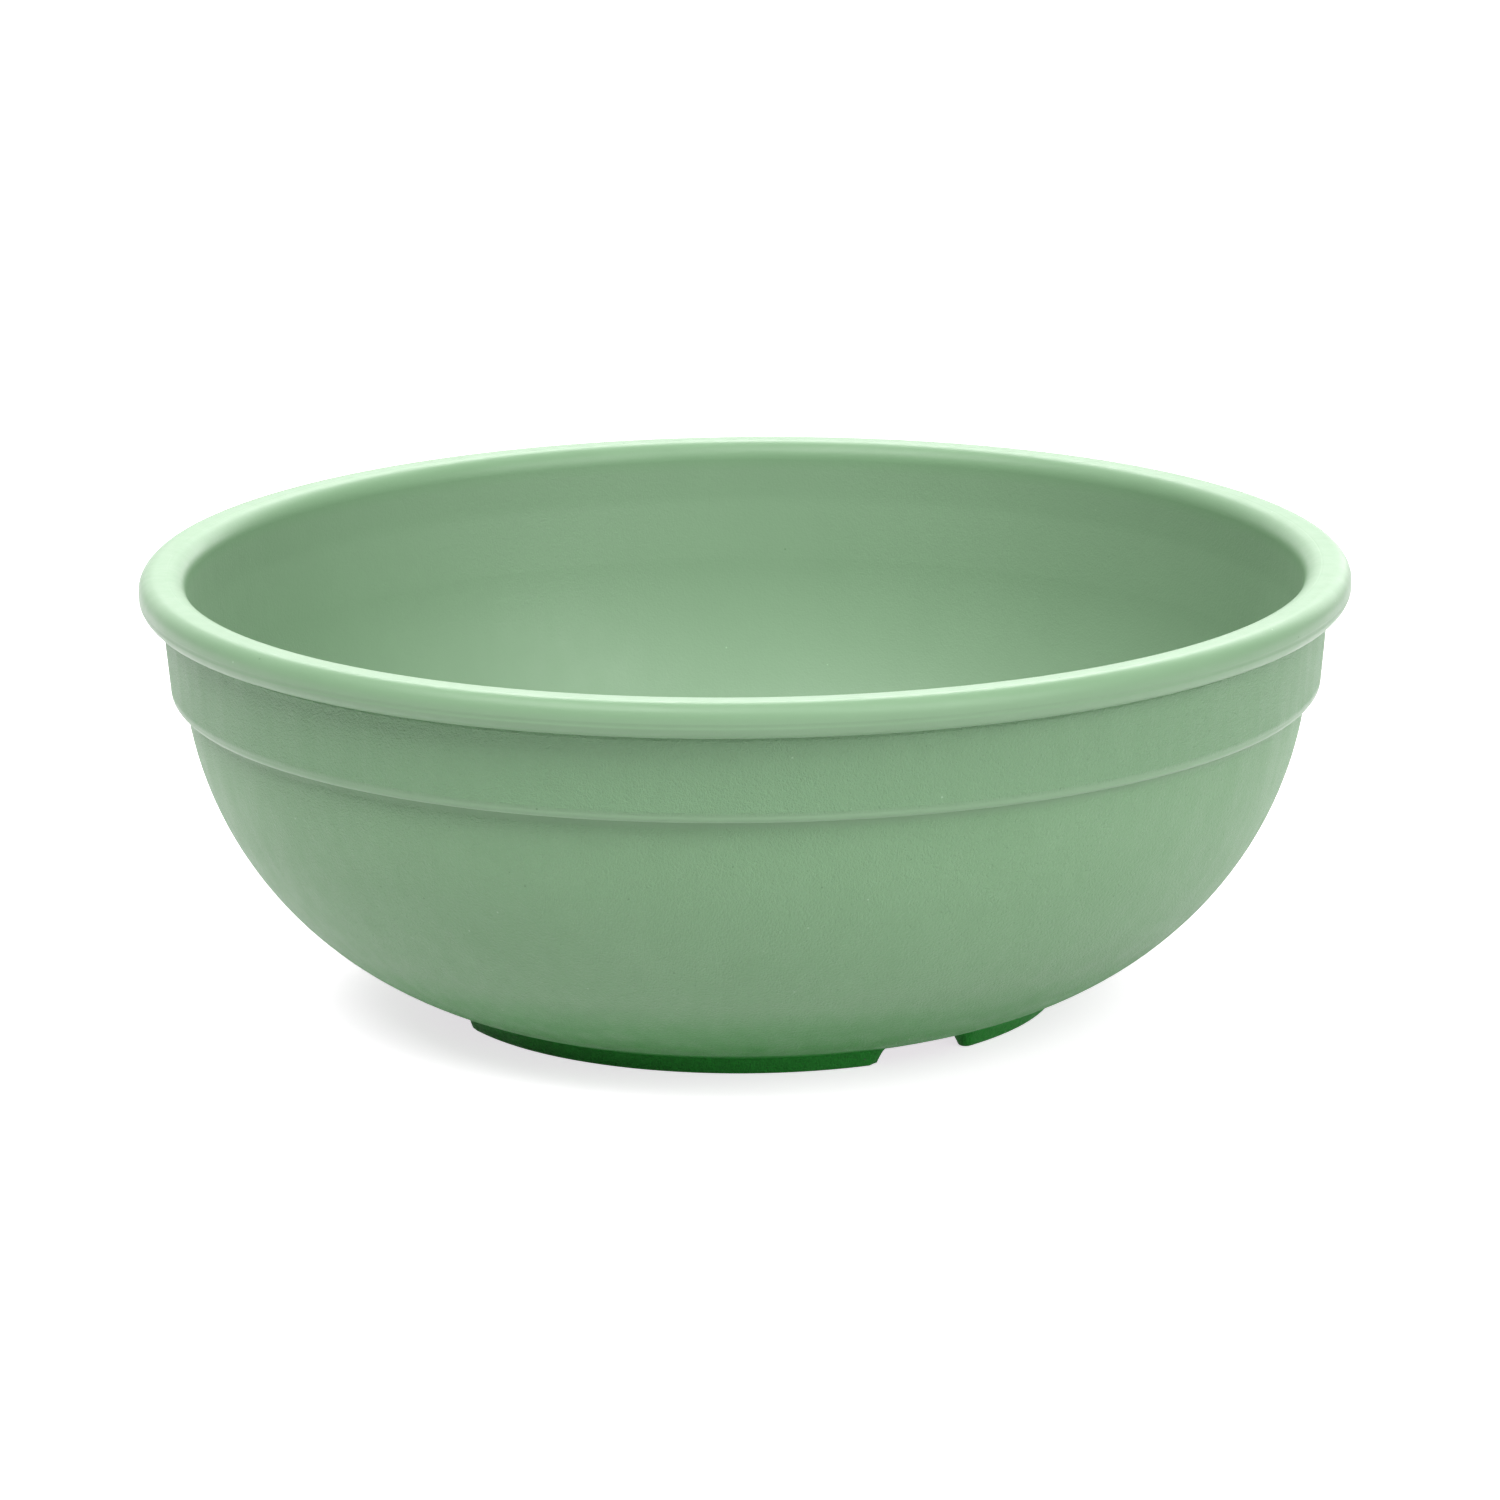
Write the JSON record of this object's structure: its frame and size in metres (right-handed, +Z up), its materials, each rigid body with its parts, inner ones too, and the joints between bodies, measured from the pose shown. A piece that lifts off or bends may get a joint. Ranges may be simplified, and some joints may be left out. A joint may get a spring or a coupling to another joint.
{
  "type": "bowl",
  "caption": "Small round plastic bowl with a thick rounded rim, a plain band and ledge below it, a round belly and a low foot ring cut by drain slots, for mixing, preparing and serving food.",
  "frame": {"origin": "centre of the foot ring, on the surface that the bowl stands on", "axes": "+Z up along the bowl's axis; -Y towards the viewer, +X to the viewer's right, which matters only for where the drain slots lie"},
  "size_m": [0.146, 0.146, 0.0536],
  "materials": {
    "bowl_plastic": "fine even matt texture on the walls, smoother satin on the rim"
  },
  "bodies": {
    "root": {"bowl": "bowl_plastic"}
  },
  "joints": []
}
